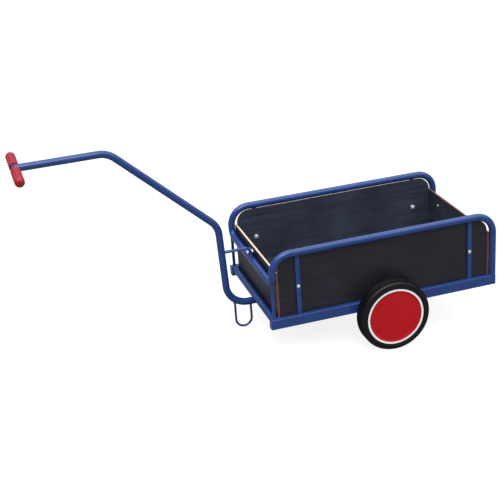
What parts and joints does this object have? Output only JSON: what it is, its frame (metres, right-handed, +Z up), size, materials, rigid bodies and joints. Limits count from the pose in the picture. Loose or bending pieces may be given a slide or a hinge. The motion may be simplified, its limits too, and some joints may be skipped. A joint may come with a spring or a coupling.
{
  "type": "two-wheeled hand cart",
  "caption": "Blue tubular steel hand cart with a dark plywood box, red-covered solid tyre wheels, parking stand and T-handled drawbar.",
  "frame": {"origin": "centre of the parked cart's box, on the ground", "axes": "+X from the handle to the rear, +Y across the cart to its right side, +Z up from the ground"},
  "size_m": [1.6266, 0.605, 0.6826],
  "materials": {
    "blue_powder_coat": "satin",
    "film_plywood": "satin",
    "red_plastic": "gloss",
    "tyre_rubber": "matte",
    "red_enamel": "gloss",
    "white_enamel": "gloss",
    "silver_paint": "satin",
    "nylon": "matte",
    "zinc_steel": "satin"
  },
  "bodies": {
    "cart": {"axle": "zinc_steel", "axle_spacers": "zinc_steel", "axle_washers": "zinc_steel", "drawbar": "blue_powder_coat", "drawbar_plug": "blue_powder_coat", "floor_board": "film_plywood", "floor_screws": "zinc_steel", "front_board": "film_plywood", "front_board_screws": "zinc_steel", "front_bottom_tube": "blue_powder_coat", "front_cross_tube": "blue_powder_coat", "front_floor_bearer": "blue_powder_coat", "left_axle_bracket": "blue_powder_coat", "left_front_leg": "blue_powder_coat", "left_front_upright": "blue_powder_coat", "left_grip": "red_plastic", "left_hoop": "blue_powder_coat", "left_rear_upright": "blue_powder_coat", "left_side_board": "film_plywood", "left_side_rail": "blue_powder_coat", "middle_floor_bearer": "blue_powder_coat", "rail_end_caps": "blue_powder_coat", "rear_board": "film_plywood", "rear_board_screws": "zinc_steel", "rear_bottom_tube": "blue_powder_coat", "rear_cross_tube": "blue_powder_coat", "rear_floor_bearer": "blue_powder_coat", "right_axle_bracket": "blue_powder_coat", "right_front_leg": "blue_powder_coat", "right_front_upright": "blue_powder_coat", "right_grip": "red_plastic", "right_hoop": "blue_powder_coat", "right_rear_upright": "blue_powder_coat", "right_side_board": "film_plywood", "right_side_rail": "blue_powder_coat", "side_board_bolts": "zinc_steel", "side_board_nuts": "zinc_steel", "side_board_washers": "zinc_steel", "split_pins": "zinc_steel", "stand": "blue_powder_coat", "strut": "blue_powder_coat", "strut_bolt": "zinc_steel", "strut_lug": "blue_powder_coat", "strut_nut": "zinc_steel", "t_bar": "blue_powder_coat"},
    "left_wheel": {"left_hub": "silver_paint", "left_hub_bushes": "nylon", "left_tyre": "tyre_rubber", "left_wheel_cover": "red_enamel", "left_wheel_rim": "silver_paint", "left_white_ring": "white_enamel"},
    "right_wheel": {"right_hub": "silver_paint", "right_hub_bushes": "nylon", "right_tyre": "tyre_rubber", "right_wheel_cover": "red_enamel", "right_wheel_rim": "silver_paint", "right_white_ring": "white_enamel"}
  },
  "joints": [
    {"name": "left_wheel_spin", "type": "hinge", "parent": "cart", "child": "left_wheel", "pos_m": [0.41264, -0.27, 0.125], "axis": [0, 1, 0], "continuous": true},
    {"name": "right_wheel_spin", "type": "hinge", "parent": "cart", "child": "right_wheel", "pos_m": [0.41264, 0.27, 0.125], "axis": [0, 1, 0], "continuous": true}
  ]
}
